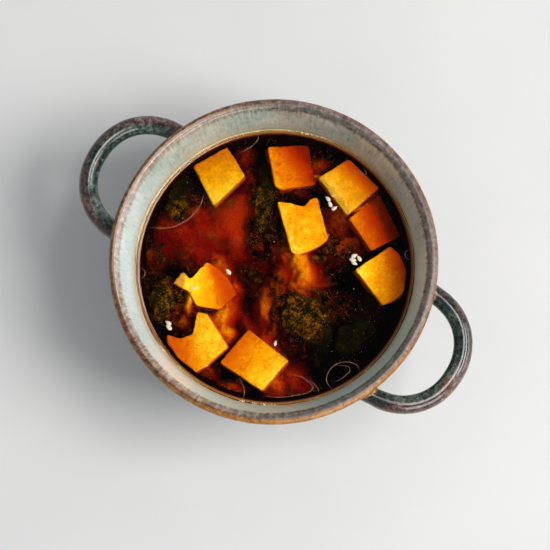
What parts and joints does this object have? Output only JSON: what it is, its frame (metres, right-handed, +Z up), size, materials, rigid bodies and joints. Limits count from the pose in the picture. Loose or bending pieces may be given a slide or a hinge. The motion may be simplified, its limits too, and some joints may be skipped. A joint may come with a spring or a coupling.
{
  "type": "bowl of miso soup",
  "caption": "Round stoneware soup bowl with loop handles, filled with clear brown miso soup that holds cut tofu, wakame leaves and floating sesame seeds.",
  "frame": {"origin": "middle of the underside of the foot ring", "axes": "+X through the middle of one handle, +Z up"},
  "size_m": [0.1888, 0.1402, 0.0633],
  "materials": {
    "reactive_glaze": "glossy mottled glaze, blue-green and brown outside, pale celadon inside",
    "miso_broth": "clear dark brown liquid",
    "tofu": "soft, moist, finely pored",
    "wakame": "wet, dark green",
    "sesame": "smooth, pale"
  },
  "bodies": {
    "root": {"bowl": "reactive_glaze", "broth": "miso_broth", "tofu_1": "tofu", "tofu_2": "tofu", "tofu_3": "tofu", "tofu_4": "tofu", "tofu_5": "tofu", "tofu_6": "tofu", "tofu_7": "tofu", "tofu_8": "tofu", "tofu_9": "tofu", "wakame_1": "wakame", "wakame_2": "wakame", "wakame_3": "wakame", "wakame_4": "wakame", "wakame_5": "wakame"}
  },
  "joints": []
}
